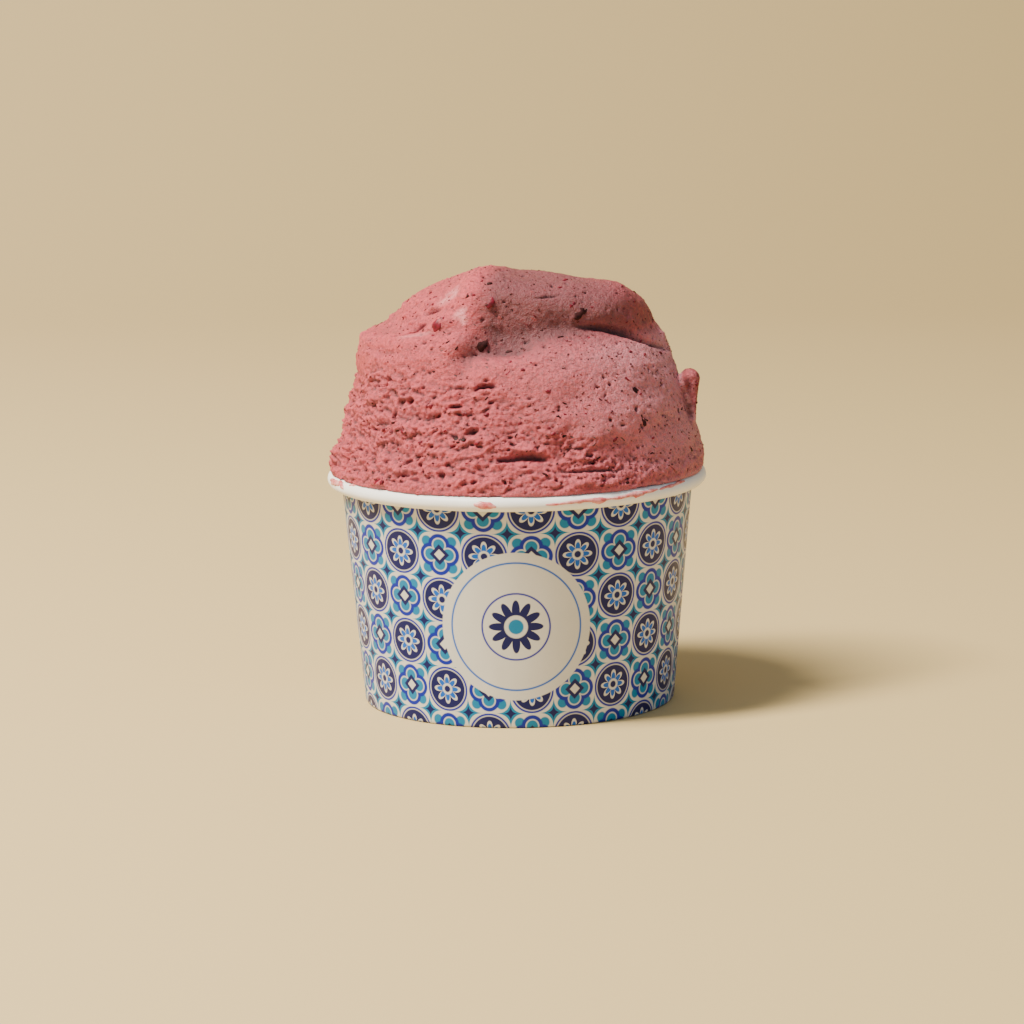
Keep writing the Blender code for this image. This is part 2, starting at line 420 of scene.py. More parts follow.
def tile_group():
    """One printed tile: a rosette or a four-lobed flower by turns, with a star at each corner."""
    tree, given, made = new_tree(
        "printed tile",
        "ShaderNodeTree",
        {"Across": ("Float", 0.0), "Up": ("Float", 0.0)},
        {"Color": "Color"},
    )
    column = calc(tree, "FLOOR", given["Across"])
    row = calc(tree, "FLOOR", given["Up"])
    odd = calc(tree, "PINGPONG", calc(tree, "ADD", column, row), 1.0)
    x = calc(tree, "SUBTRACT", calc(tree, "SUBTRACT", given["Across"], column), 0.5)
    y = calc(tree, "SUBTRACT", calc(tree, "SUBTRACT", given["Up"], row), 0.5)
    fold_x = calc(tree, "ABSOLUTE", x)
    fold_y = calc(tree, "ABSOLUTE", y)
    out = away(tree, x, y, 0.0, 0.0)
    turn = calc(tree, "ARCTAN2", y, x)
    lobe = calc(tree, "ABSOLUTE", calc(tree, "COSINE", calc(tree, "MULTIPLY", turn, 4.0)))

    petal = calc(tree, "MULTIPLY_ADD", calc(tree, "POWER", lobe, 0.8), 0.2, 0.13)
    vein = calc(tree, "MULTIPLY_ADD", lobe, 0.15, 0.12)
    border = ((0.50, ROYAL), (0.452, GROUND), (0.432, NAVY))
    petals = ((petal, GROUND), (vein, MID_BLUE), (0.125, GROUND), (0.075, NAVY))
    rosette = inks(tree, GROUND, out, border + petals)

    right = away(tree, fold_x, fold_y, 0.21, 0.0)
    top = away(tree, fold_x, fold_y, 0.0, 0.21)
    lobes = calc(tree, "MINIMUM", right, top)
    diamond = calc(tree, "ADD", fold_x, fold_y)
    leaf = away(tree, fold_x, fold_y, 0.29, 0.29)
    flower = inks(tree, GROUND, leaf, ((0.12, TEAL),))
    flower = inks(tree, flower, lobes, ((0.25, ROYAL), (0.162, GROUND), (0.135, TEAL)))
    flower = inks(tree, flower, diamond, ((0.23, NAVY), (0.12, GROUND)))

    side = calc(tree, "SQRT", calc(tree, "SUBTRACT", 0.5, fold_x))
    rise = calc(tree, "SQRT", calc(tree, "SUBTRACT", 0.5, fold_y))
    star = calc(tree, "ADD", side, rise)
    tile = mix_colour(tree, odd, rosette, flower)
    tree.links.new(inks(tree, tile, star, ((0.60, TEAL), (0.44, NAVY))), made["Color"])
    return tree


printed_board, tree, shader = new_material("printed board")
print_map = wire(tree, "ShaderNodeUVMap", uv_map="print")
place = wire(tree, "ShaderNodeSeparateXYZ", print_map).node.outputs
across = calc(tree, "MULTIPLY", place["X"], TILES_ROUND)
up = calc(tree, "DIVIDE", calc(tree, "SUBTRACT", place["Y"], TILE_FOOT), TILE_HEIGHT)
tile = place_group(tree, tile_group(), Across=across, Up=up)["Color"]

label_share = ((LABEL_TURN - LAP_TURN) / (2 * pi)) % 1
wall_radius = calc(tree, "MULTIPLY_ADD", place["Y"], WIDENING, FOOT_RADIUS)
label_turn = calc(tree, "MULTIPLY", calc(tree, "SUBTRACT", place["X"], label_share), 2 * pi)
label_x = calc(tree, "MULTIPLY", label_turn, wall_radius)
label_y = calc(tree, "SUBTRACT", place["Y"], LABEL_HEIGHT)
label_x = calc(tree, "DIVIDE", label_x, LABEL_RADIUS)
label_y = calc(tree, "DIVIDE", label_y, LABEL_RADIUS)
label_out = away(tree, label_x, label_y, 0.0, 0.0)
spoke = calc(tree, "MULTIPLY", calc(tree, "ARCTAN2", label_y, label_x), 6.0)
petals = calc(tree, "ABSOLUTE", calc(tree, "COSINE", spoke))
petals = calc(tree, "MULTIPLY_ADD", petals, 0.16, 0.20)
border = ((0.875, MID_BLUE), (0.85, GROUND), (0.46, ROYAL), (0.435, GROUND))
middle = ((petals, NAVY), (0.155, GROUND), (0.10, TEAL))
label = inks(tree, GROUND, label_out, border + middle, 0.008)
artwork = mix_colour(tree, inside(tree, label_out, 1.0, 0.006), tile, label)

face = value_of(tree, "printed")
below_roll = calc(tree, "LESS_THAN", place["Y"], PRINT_TOP)
inked = calc(tree, "MULTIPLY", face, below_roll)
fibre = place_group(tree, PAPER_FIBRE)
plain = mix_colour(tree, fibre["Tone"], BOARD_SHADE, BOARD_WHITE)
fade = calc(tree, "MULTIPLY_ADD", fibre["Tone"], 0.16, 0.9)
artwork = wire(tree, "ShaderNodeMix", 1.0, artwork, fade, data_type="RGBA", blend_type="MULTIPLY")
fill(
    tree,
    shader,
    Base_Color=mix_colour(tree, inked, plain, artwork),
    Roughness=calc(tree, "MULTIPLY_ADD", fibre["Tone"], 0.2, 0.30),
    Specular_IOR_Level=0.28,
    Normal=wire(tree, "ShaderNodeBump", 0.18, 0.05 * MM, None, fibre["Height"]),
)

side_wall = grown(
    "side_wall",
    outline_mesh("wall outline", rim_and_wall_path()),
    WOUND_PAPER,
    {
        "Columns": 256,
        "Lap Turn": LAP_TURN,
        "Lap Step": LAP_STEP,
        "Lap Width": LAP_WIDTH,
        "Unevenness": WALL_UNEVENNESS,
        "Board": printed_board,
    },
)


PANELS = 4
PANEL_WIDTH = 0.49
PANEL_HEIGHT = 0.36
PANEL_STEP = 0.37
STRIP_WIDTH = 0.99
STRIP_HEIGHT = 0.24
MAP_EDGE = 0.005


def spread_wall_map(mesh, first_row, last_row):
    """Lays the bake map: the printed wall as four large panels, the rest in a strip below."""
    corners = len(mesh.loops)
    flat = np.empty(corners * 2, np.float32)
    mesh.uv_layers["OFBake"].uv.foreach_get("vector", flat)
    share, row = flat.reshape(-1, 2).T.astype(float)
    starts = np.array([face.loop_start for face in mesh.polygons])
    sizes = np.array([face.loop_total for face in mesh.polygons])
    face_share = np.add.reduceat(share, starts) / sizes
    face_row = np.add.reduceat(row, starts) / sizes
    panel = np.repeat(np.minimum(np.floor(face_share * PANELS), PANELS - 1), sizes)
    shown = np.repeat((face_row > first_row) & (face_row < last_row), sizes)
    rise = (row - first_row) / (last_row - first_row)
    panel_x = 0.5 * (panel % 2) + MAP_EDGE + PANEL_WIDTH * (share * PANELS - panel)
    panel_y = 0.26 + PANEL_STEP * (panel // 2) + MAP_EDGE + PANEL_HEIGHT * rise
    strip_x = MAP_EDGE + STRIP_WIDTH * share
    strip_y = MAP_EDGE + STRIP_HEIGHT * row / row.max()
    flat = np.stack([np.where(shown, panel_x, strip_x), np.where(shown, panel_y, strip_y)], -1)
    mesh.uv_layers["OFBake"].uv.foreach_set("vector", flat.astype(np.float32).ravel())


spread_wall_map(side_wall.data, CURL_PARTS, CURL_PARTS + WALL_PARTS + 4)
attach(side_wall, "root")
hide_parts("cup_sidewall")

# Gelato
# One serving of churned berry gelato, pressed into the cup and built up with a spatula. Its body
# is dragged and torn at the front left, the last stroke folds a cap over it from left to right,
# and a torn petal stands off its right side. It stays one piece with its ice crystals and pits.
BODY_TOP = 97.5
SHOULDER_HEIGHT = 78.0
BROW_HEIGHT = 58.0
BODY_RADIUS = 36.2
FLARE = 7.8
FLARE_FALL = 13.0
DOME_POWER = 2.7
LEDGE_HEIGHT = 87.5
LEDGE_DEPTH = 2.6
RIM = RIM_RADIUS / MM
ROLL = ROLL_RADIUS / MM
RIM_MIDDLE = CUP_HEIGHT / MM - ROLL
RIM_GAP = 0.12
CAP_TOP = 101.8
CAP_SHIFT = 1.5
CAP_UNDER = 4.6
# The lip of the cap: turn, radius, height, and how squarely the top turns down into it
LIP_STATIONS = (
    (-180, 30.0, 89.5, 2.2),
    (-90, 29.3, 88.6, 1.85),
    (-60, 29.7, 89.0, 2.0),
    (-40, 31.0, 89.6, 2.3),
    (-29, 30.8, 90.0, 2.6),
    (-17, 29.2, 91.0, 3.8),
    (-3, 28.2, 91.6, 4.4),
    (14, 27.9, 91.4, 4.2),
    (32, 27.8, 91.4, 4.6),
    (50, 29.2, 89.7, 4.4),
    (68, 31.5, 87.1, 3.8),
    (88, 32.9, 85.8, 3.2),
    (125, 31.2, 88.0, 2.4),
    (180, 30.0, 89.5, 2.2),
)
# Rises of the cap's top: x, y, height and width
SUMMIT = (-5.6, -12.0, 3.2, 15.5)
CAP_BROW = (-3.0, -25.0, 2.2, 8.0)
CAP_SHOULDER = (25.0, -12.0, 1.6, 5.6)
# Swells and hollows of the body: how far it moves out, turn, spread of turns, height, spread
BODY_SWELLS = (
    (-1.9, -85, 40, 90.3, 2.4),
    (1.6, 45, 45, 72, 9),
    (-1.4, -15, 40, 84, 5),
    (-1.2, 15, 40, 80, 7),
    (0.9, -90, 50, 66, 9),
    (2.0, 88, 32, 65, 8),
)
HEAP_FOOT = 51.5
HEAP_COLUMNS = 420
HEAP_VOXEL = 0.39
HEAP_TRIANGLES = 188000


def swell(turn, centre, width):
    """Smooth rise to 1 at one turn from the front, in degrees, falling off over the width."""
    away = (turn - centre + 180) % 360 - 180
    return np.exp(-((away / width) ** 2))


def band(height, centre, width):
    """Smooth rise to 1 at one height, falling off over the width."""
    return np.exp(-(((height - centre) / width) ** 2))


def slope(value, low, high):
    """Smooth rise from 0 at low to 1 at high."""
    share = np.clip((value - low) / (high - low), 0, 1)
    return share * share * (3 - 2 * share)


def at(turn, radius, height):
    """Points from turns in degrees, radii and heights."""
    angle = np.radians(turn)
    return np.stack(np.broadcast_arrays(radius * np.sin(angle), -radius * np.cos(angle), height), -1)


def field(points, lengths, seed):
    """Smooth noise at each point, whose lumps have these lengths along x, y and z."""
    spots = points / np.array(lengths) + 11.7 * seed
    return np.array([noise.noise(spot) for spot in spots.tolist()])


def body_radius(turn, height):
    radius = BODY_RADIUS + FLARE * np.exp((BROW_HEIGHT - height) / FLARE_FALL)
    front = swell(turn, 30, 52)
    rise = np.clip((height - SHOULDER_HEIGHT) / (BODY_TOP - 2.5 * front - SHOULDER_HEIGHT), 0, 1)
    power = DOME_POWER - 0.3 * front
    radius = radius * np.maximum(1 - rise**power, 0) ** (1 / power)
    ledge_fall = np.where(height > LEDGE_HEIGHT, 0.9, 2.5)
    radius += LEDGE_DEPTH * swell(turn, -75, 40) * np.exp(-np.abs(height - LEDGE_HEIGHT) / ledge_fall)
    for lift, centre, spread, middle, tall in BODY_SWELLS:
        radius += lift * swell(turn, centre, spread) * band(height, middle, tall)
    return np.minimum(radius, RIM - 0.3)


def body_rings():
    """Rings of the body from its top down over the rim, and a little way into the cup."""
    turns = np.linspace(-180, 180, HEAP_COLUMNS, endpoint=False)
    dome = SHOULDER_HEIGHT + (BODY_TOP - SHOULDER_HEIGHT) * np.cos(np.linspace(0.02, pi / 2, 70))
    skirt = np.linspace(SHOULDER_HEIGHT, BROW_HEIGHT, 60)[1:]
    rings = [at(turns, body_radius(turns, height), height) for height in [*dome, *skirt]]
    clear = ROLL + RIM_GAP
    edge = radians(50) + 0.35 * field(at(turns, 8, 0), (1.6, 1.6, 1.6), 3)
    for share in np.linspace(0, 1, 16):
        angle = edge + (pi - edge) * share
        rings.append(at(turns, RIM - ROLL + clear * np.cos(angle), RIM_MIDDLE + clear * np.sin(angle)))
    for height in np.linspace(RIM_MIDDLE, HEAP_FOOT, 5)[1:]:
        rings.append(at(turns, wall_middle(height * MM) / MM - 0.4, height))
    return np.array(rings)


def cap_rings():
    """Rings of the cap, from its summit over the rounded lip to its underside."""
    turns = np.linspace(-180, 180, HEAP_COLUMNS, endpoint=False)
    wander = field(at(turns, 6, 0), (5, 5, 5), 1) * 1.3 + field(at(turns, 14, 0), (4, 4, 5), 2) * 0.5
    stations = np.array(LIP_STATIONS).T
    near = np.arange(-24, 25, 2.0)
    weight = band(near, 0, 9) / band(near, 0, 9).sum()
    lip_radius, lip_height, power = (
        weight @ np.interp(turns[None] + near[:, None], stations[0], column, period=360)
        for column in stations[1:]
    )
    lip_radius = lip_radius + wander * 0.5
    lip_height = lip_height + wander * 0.4
    rings = []
    for tilt in np.linspace(pi / 2 - 0.02, -pi / 2 + 0.02, 160):
        over = tilt > 0
        square = power if over else 2.0
        reach = (np.cos(tilt) ** square + abs(np.sin(tilt)) ** square) ** (-1 / square)
        across = reach * np.cos(tilt)
        rise = reach * np.sin(tilt)
        ring = at(turns, lip_radius * across, lip_height)
        ring[:, 0] -= CAP_SHIFT * (1 - across)
        tall = CAP_TOP - lip_height - 0.10 * np.maximum(ring[:, 1] + 10, 0)
        for x, y, lift, width in (SUMMIT, CAP_BROW, CAP_SHOULDER):
            tall = tall + lift * np.exp(-((ring[:, 0] - x) ** 2 + (ring[:, 1] - y) ** 2) / width**2)
        ring[:, 2] += rise * (tall if over else CAP_UNDER)
        rings.append(ring)
    return np.array(rings)


PETAL_FRONT = 7.0
PETAL_WEB_SIZE = (1.7, 1.7, 6.4)
PETAL_WEB_PLACE = (40.6, -7.3, 71.4)
# Stations of the petal from its root, over its tip, to the end of the curl: the middle's x and
# height, then half its width, its depth and its height
PETAL_STATIONS = (
    (40.9, 64.0, 1.1, 2.0, 1.6),
    (41.9, 67.5, 0.8, 2.5, 1.6),
    (42.25, 71.0, 0.75, 2.9, 1.6),
    (42.15, 75.0, 0.95, 3.1, 1.5),
    (41.7, 77.6, 1.2, 3.0, 1.3),
    (40.6, 78.2, 1.3, 2.7, 1.2),
    (39.7, 77.0, 1.35, 2.4, 1.3),
    (39.3, 75.3, 1.2, 1.9, 1.3),
    (39.2, 74.2, 0.8, 1.2, 0.9),
)


def ball(count):
    """Rings of a unit ball, from its top down."""
    turns = np.linspace(-180, 180, 28, endpoint=False)
    tilts = np.linspace(pi / 2 - 0.05, 0.05 - pi / 2, count)
    return np.array([at(turns, cos(tilt), sin(tilt)) for tilt in tilts])


def petal_lumps():
    """Overlapping ovals along the petal's stations, which the remesh melts together."""
    stations = np.array(PETAL_STATIONS)
    steps = np.linspace(0, len(stations) - 1, 56)
    along = np.stack([np.interp(steps, range(len(stations)), column) for column in stations.T], -1)
    lumps = [
        ball(16) * (wide, deep, tall) + (x, -PETAL_FRONT, height)
        for x, height, wide, deep, tall in along
    ]
    return [*lumps, ball(24) * PETAL_WEB_SIZE + PETAL_WEB_PLACE]


def shell_faces(count, columns, first):
    """Faces that join rings of points and close both ends."""
    faces = []
    for ring in range(count - 1):
        start = first + ring * columns
        for column in range(columns):
            after = start + (column + 1) % columns
            faces.append((start + column, start + columns + column, columns + after, after))
    top = [first + column for column in range(columns)]
    end = first + (count - 1) * columns
    bottom = [end + column for column in reversed(range(columns))]
    return faces + [top, bottom]


def melted(shells, voxel):
    """One closed mesh from overlapping shells, in even small faces."""
    points = []
    faces = []
    first = 0
    for rings in shells:
        count, columns, _ = rings.shape
        points.append(rings.reshape(-1, 3))
        faces += shell_faces(count, columns, first)
        first += count * columns
    mesh = bpy.data.meshes.new("shells")
    mesh.from_pydata(np.concatenate(points).tolist(), [], faces)
    lump = placed("shells", mesh)
    remesh = lump.modifiers.new("Melt", "REMESH")
    remesh.mode = "VOXEL"
    remesh.voxel_size = voxel
    return as_mesh(lump)


def closed_foot(mesh, height):
    """Cuts the mesh off at this height and closes it with one flat face."""
    bm = bmesh.new()
    bm.from_mesh(mesh)
    bmesh.ops.bisect_plane(
        bm,
        geom=bm.verts[:] + bm.edges[:] + bm.faces[:],
        plane_co=(0, 0, height),
        plane_no=(0, 0, -1),
        clear_outer=True,
    )
    rim = [edge for edge in bm.edges if edge.is_boundary]
    bmesh.ops.contextual_create(bm, geom=rim)
    bmesh.ops.recalc_face_normals(bm, faces=bm.faces)
    bm.to_mesh(mesh)
    bm.free()


def read_rows(items, label):
    """What each item holds under this name, as rows of three."""
    flat = np.empty(len(items) * 3, np.float32)
    items.foreach_get(label, flat)
    return flat.reshape(-1, 3).astype(float)


def relaxed(points, edges, rounds, share=0.5):
    """The points drawn towards the middle of their neighbours, round by round."""
    first, second = edges
    count = len(points)
    near = np.bincount(first, minlength=count) + np.bincount(second, minlength=count)
    for _ in range(rounds):
        middle = np.stack(
            [
                np.bincount(first, points[second, axis], count)
                + np.bincount(second, points[first, axis], count)
                for axis in range(3)
            ],
            -1,
        )
        points = points + share * (middle / near[:, None] - points)
    return points


def set_points(mesh, points):
    mesh.vertices.foreach_set("co", points.astype(np.float32).ravel())
    mesh.update()


heap = melted([body_rings(), cap_rings(), *petal_lumps()], HEAP_VOXEL)
closed_foot(heap, HEAP_FOOT + 0.6)
edges = np.array([edge.vertices for edge in heap.edges]).T
points = read_rows(heap.vertices, "co")
turn = np.degrees(np.arctan2(points[:, 0], -points[:, 1]))
height = points[:, 2]
crease = swell(turn, 57, 25) * band(height, 91, 8)
merging = np.clip(1 - 1.6 * crease, 0.03, 1) * band(height, 90, 9) * (height > 80)
points = relaxed(points, edges, 8, 0.5)
points = relaxed(points, edges, 90, 0.5 * merging[:, None])
set_points(heap, points)

# The surface is worked in millimetres: "level" follows the drag of the spatula, which rises a
# little to the right, and "wound" holds places on an even cylinder, for lumps that run along it.
DRAG_DEPTH = 0.50
FINE_DRAG_DEPTH = 0.36
PIT_DEPTH = 1.3
STEP_DEPTH = 0.45
FOLD_DEPTH = 3.3
OVERLAP_DEPTH = 1.9
CREST_HEIGHT = 1.2
outward = read_rows(heap.vertex_normals, "vector")
turn = np.degrees(np.arctan2(points[:, 0], -points[:, 1]))
height = points[:, 2]
REACH = 38.0
arc = np.radians(turn) * REACH
level = height - 3.5 * np.sin(np.radians(turn))
wound = at(turn, REACH, level)
on_rim = slope(height, 55.6, 57.0)

tear_line = np.interp(turn, (-150, -60, -13, 50, 90, 150), (76, 83, 84, 62, 60, 72))
tear_line += 3 * field(wound, (9, 9, 9), 5)
torn = slope(tear_line - height, -2.5, 7)
torn = np.maximum(torn, 0.55 * slope(66 - height, 0, 8)) * on_rim
patchy = 0.35 + 0.65 * slope(field(wound, (7, 7, 4), 6), -0.3, 0.25)

swing = 0.8 * field(points, (13, 13, 9), 7) + 0.35 * field(points, (6, 6, 5), 8)
drag = -DRAG_DEPTH * (1 - np.abs(field(wound, (5.2, 5.2, 1.8), 9))) ** 6
fine_drag = -FINE_DRAG_DEPTH * (1 - np.abs(field(wound, (2.2, 2.2, 0.95), 10))) ** 5
crumb = 0.37 * field(points, (0.95, 0.95, 0.8), 11) + 0.55 * field(wound, (5.5, 5.5, 3.0), 12)
crumb += 0.39 * field(points, (0.6, 0.6, 0.55), 19)
pits = -PIT_DEPTH * slope(field(wound, (1.9, 1.9, 0.9), 13), 0.46, 0.62)
pits -= 0.8 * slope(field(points, (1.1, 1.1, 0.8), 33), 0.50, 0.66)
step = (level / 3.4 + 0.9 * field(wound, (9, 9, 5), 14)) % 1
steps = STEP_DEPTH * (1 - step) * slope(field(wound, (8, 8, 4), 15), 0.0, 0.3)
roughened = drag * patchy + fine_drag + crumb + pits * patchy + steps
work = (0.95 + 0.75 * swell(turn, -70, 40)) * torn * roughened

calm = 1 - torn
stroke_level = height + 0.35 * arc + 0.008 * arc**2
stroke = np.stack([arc / 9, stroke_level / 1.1, points[:, 1] / 9], -1)
lines = 0.16 * field(stroke, (1, 1, 1), 16) + 0.10 * field(stroke, (0.5, 0.45, 0.5), 26)
few_pits = -0.8 * slope(field(points, (1.5, 1.5, 0.9), 17), 0.52, 0.68)
grit = 0.13 * field(points, (0.8, 0.8, 0.8), 18) + 0.10 * field(points, (1.5, 1.5, 1.2), 27)
knobs = 0.55 * slope(field(points, (1.7, 1.7, 1.5), 28), 0.42, 0.62) * swell(turn, -60, 50)
work += calm * on_rim * (lines + grit + few_pits + knobs)


def spot(at_turn, at_height, wide, tall, lean=0.0, arch=0.0, power=2):
    """1 at a named place and 0 away from it. It may lean up to the right, or arch upwards."""
    across = ((turn - at_turn + 180) % 360 - 180) * pi / 180 * np.hypot(points[:, 0], points[:, 1])
    up = height - at_height - lean * across + arch * across**2 / max(wide, 0.1)
    return np.exp(-(((across / wide) ** 2 + (up / tall) ** 2) ** (power / 2)))


# Named holes, slits and tears: turn, height, half width, half height and depth, then the lean and
# the arch of those that have them
HOLES = (
    (-11, 80.0, 2.3, 0.45, 1.9, 0.10, 0.16),
    (-21.5, 75.3, 1.8, 0.42, 1.7, 0.05),
    (-21.5, 79.4, 2.4, 0.30, 0.8, 0.08),
    (-44, 75.3, 0.95, 0.7, 2.2, 0.2),
    (-40, 75.8, 0.75, 0.65, 2.2),
    (-53, 79.0, 0.7, 1.5, 2.2, 0.6),
    (-47, 72.0, 0.7, 0.6, 1.9),
    (-37, 62.3, 1.3, 0.5, 1.4, 0.5),
    (-24, 60.0, 0.85, 0.7, 1.7),
    (-16, 58.4, 1.0, 0.45, 1.2, 0.2),
    (-15, 69.6, 1.6, 0.8, 2.0, 0.25),
    (-3, 63.6, 3.2, 0.55, 1.5, 0.02, 0.05),
    (4, 64.2, 3.6, 0.75, 2.2, -0.05, 0.06),
    (22, 60.6, 7.0, 0.35, 0.9, -0.03),
    (-49, 91.2, 2.4, 0.6, 2.0, 0.55),
    (-43, 95.8, 2.4, 0.5, 1.7, 0.25, 0.05),
    (-68, 59.3, 1.3, 3.4, 3.2),
    (-76, 58.2, 0.7, 0.5, 1.0),
    (17, 99.0, 3.4, 0.30, 0.6, 0.05),
)
# Named lumps and lips that stand proud: the same values, with their height off the surface
LUMPS = (
    (-88, 87.5, 1.3, 0.9, 1.0),
    (86, 87.0, 1.6, 1.2, 0.9),
    (-78, 60.0, 2.6, 3.0, 1.6),
    (-82, 96.5, 7.0, 3.0, 0.8),
    (4, 65.8, 4.5, 0.8, 0.8, -0.05, 0.06),
    (22, 61.6, 7.5, 0.6, 0.5, -0.03),
    (-35, 93.0, 3.2, 2.0, 1.6, 0.3),
    (-52, 97.0, 1.1, 0.9, 0.9, 0.2),
    (-62, 93.5, 1.3, 0.9, 1.0, 0.2),
    (-12, 98.0, 1.5, 1.2, 0.5, 0.2),
    (-46, 57.6, 1.9, 1.4, 0.6),
    (-5.5, 63.0, 2.2, 0.9, 0.6, 0.1),
    (-70, 95.0, 1.5, 1.2, 0.6),
    (-88, 92.0, 1.1, 0.8, 0.9),
    (-84, 94.8, 0.9, 0.7, 0.6),
    (-11, 78.8, 2.6, 0.5, 0.35, 0.10, 0.16),
    (-60, 89.0, 9.0, 0.8, 0.5, 0.12),
)
for where in HOLES:
    work -= where[4] * spot(*where[:4], *where[5:], power=3)
for where in LUMPS:
    work += where[4] * spot(*where[:4], *where[5:])

from_crest = (points[:, 0] + 2.0) * 0.949 - points[:, 1] * 0.315
on_cap = slope(height, 86, 90) * slope(-points[:, 1], 9, 19)
crest = CREST_HEIGHT * band(from_crest, -1, 3.8) - CREST_HEIGHT * band(from_crest, 9, 5.5)
work += on_cap * crest
fold = np.interp(turn, (-30, -24, -16, -8, 2, 8, 20, 33), (84, 86, 87.9, 88.6, 89.1, 89.7, 91.3, 92.8))
along_fold = np.interp(turn, (-28, -18, -8, 2, 10, 20, 30), (0, 0.9, 1, 0.9, 0.4, 0.15, 0))
work -= along_fold * FOLD_DEPTH * band(height, fold, 2.8)
overlap = np.interp(turn, (18, 30, 42, 55, 66, 78, 90), (92.6, 92.1, 91.3, 89.6, 87.3, 84.9, 83.2))
along_overlap = np.interp(turn, (28, 42, 66, 84), (0, 1, 1, 0))
lip = 0.5 * band(height, overlap + 3.0, 2.2) - OVERLAP_DEPTH * band(height, overlap, 0.75)
work += along_overlap * lip
work -= 0.9 * spot(-20, 83.0, 2.2, 4.0)
ledge = np.interp(turn, (-90, -70, -45, -28), (86.5, 87.2, 87.6, 88.4))
work += 0.7 * swell(turn, -58, 24) * (band(height, ledge + 1.2, 1.1) - band(height, ledge - 1.2, 1.4))

points = points + outward * (work + swing * slope(height, 58, 64))[:, None]
across = np.hypot(points[:, 0], points[:, 1])
from_roll = np.hypot(across - (RIM - ROLL), points[:, 2] - RIM_MIDDLE)
push = np.maximum(0, ROLL + 0.1 - from_roll) / np.maximum(from_roll, 0.1)
points[:, :2] *= (1 + push * (across - (RIM - ROLL)) / across)[:, None]
points[:, 2] += push * (points[:, 2] - RIM_MIDDLE)
set_points(heap, points)
points = relaxed(points, edges, 1, 0.35)
set_points(heap, points)
outward = read_rows(heap.vertex_normals, "vector")
even = relaxed(points, edges, 26)
proud = ((points - even) * outward).sum(1)

off_body = np.hypot(points[:, 0], points[:, 1]) - body_radius(turn, height)
on_petal = slope(off_body, 1.2, 2.0) * swell(turn, 80, 14) * slope(height, 64, 66)
# Painted shade: the cap's face right of its crest, the fold under the cap, the petal and a patch of the
# body get a darker colour where they lie in shade.
shaded_cap_face = (
    slope(height, 87, 91)
    * slope(from_crest, 0, 6)
    * slope(-points[:, 1], -3, 6)
    * slope(84 - turn, 0, 40)
)
fold_shade = np.interp(turn, (-28, -18, -8, 34, 46), (0, 0.9, 1, 1, 0)) * band(height, fold + 0.8, 3.4)
body_shade = 0.13 * swell(turn, 8, 30) * band(height, 77, 10)
grains = slope(field(points, (0.9, 0.9, 0.9), 31), -0.25, 0.1)
# Glossy patches: their roughness is lowered, and their colour is lightened as a painted highlight.
gloss_and_highlight = (
    spot(-25.0, 95.6, 1.6, 0.9, 0.5, power=5)
    + spot(-23.6, 94.3, 0.9, 1.3, -0.4, power=5)
    + 1.3 * spot(-36, 98.8, 2.9, 1.5, 0.3, power=4) * grains
    + 0.6 * spot(-45, 90.0, 4.5, 0.5, 0.25, power=4)
)
for label, value in {
    # Painted shade tone on faces that turn downwards.
    "under": slope(-outward[:, 2], 0.0, 0.6),
    # Painted shade in pits: the deeper a point lies below the smoothed surface, the darker its colour.
    "pit_shade": np.clip(-proud / 0.40, 0, 1) ** 0.8,
    # Painted light: points proud of the smoothed surface get a lighter colour.
    "ridge_light": np.clip(proud / 0.40, 0, 1),
    # Painted shade tone: the smooth right side, turned away from the key light, gets a paler, cooler
    # colour for how its shade looks.
    "shaded_side_tint": (0.45 + 0.55 * calm) * swell(turn, 78, 50) * slope(92 - height, 0, 6) * (1 - on_petal),
    # Painted shade on the cap's face, the fold under the cap, the petal and a patch of the body.
    "painted_shade": np.maximum(shaded_cap_face, fold_shade) + 0.6 * on_petal + body_shade,
    # Glossy patches, also lightened in colour as a painted highlight.
    "gloss_and_highlight": np.clip(gloss_and_highlight, 0, 1),
}.items():
    heap.attributes.new(label, "FLOAT", "POINT").data.foreach_set("value", value.astype(np.float32))
flow = np.stack([arc / 3.2, stroke_level, np.hypot(points[:, 0], points[:, 1])], -1)
flow = flow.astype(np.float32).ravel()
heap.attributes.new("flow", "FLOAT_VECTOR", "POINT").data.foreach_set("vector", flow)
set_points(heap, points * MM)
heap.shade_smooth()

heap_lump = placed("worked heap", heap)
thinner = heap_lump.modifiers.new("Thin", "DECIMATE")
thinner.ratio = min(1.0, HEAP_TRIANGLES / (2 * len(heap.polygons)))
heap = as_mesh(heap_lump)

BERRY_PINK = (0.50, 0.032, 0.050, 1)
BERRY_MAUVE = (0.38, 0.023, 0.040, 1)
# Lighter berry tone for random mottling, and painted light on proud points.
BERRY_PALE_AND_RIDGE_LIGHT = (0.67, 0.076, 0.101, 1)
# Painted tone for the shaded right side: paler and cooler than the berry colour.
BERRY_SHADED_SIDE_TINT = (0.62, 0.230, 0.275, 1)
# Painted shade colour for the cap's face, the fold under the cap and the petal.
BERRY_PAINTED_SHADE = (0.125, 0.013, 0.021, 1)
# Painted shade colour for faces that turn downwards, such as the cap's lip.
BERRY_UNDERSIDE_SHADE = (0.25, 0.056, 0.098, 1)
# Painted highlight colour for the glossy patches.
PAINTED_GLOSS_HIGHLIGHT = (0.86, 0.27, 0.30, 1)
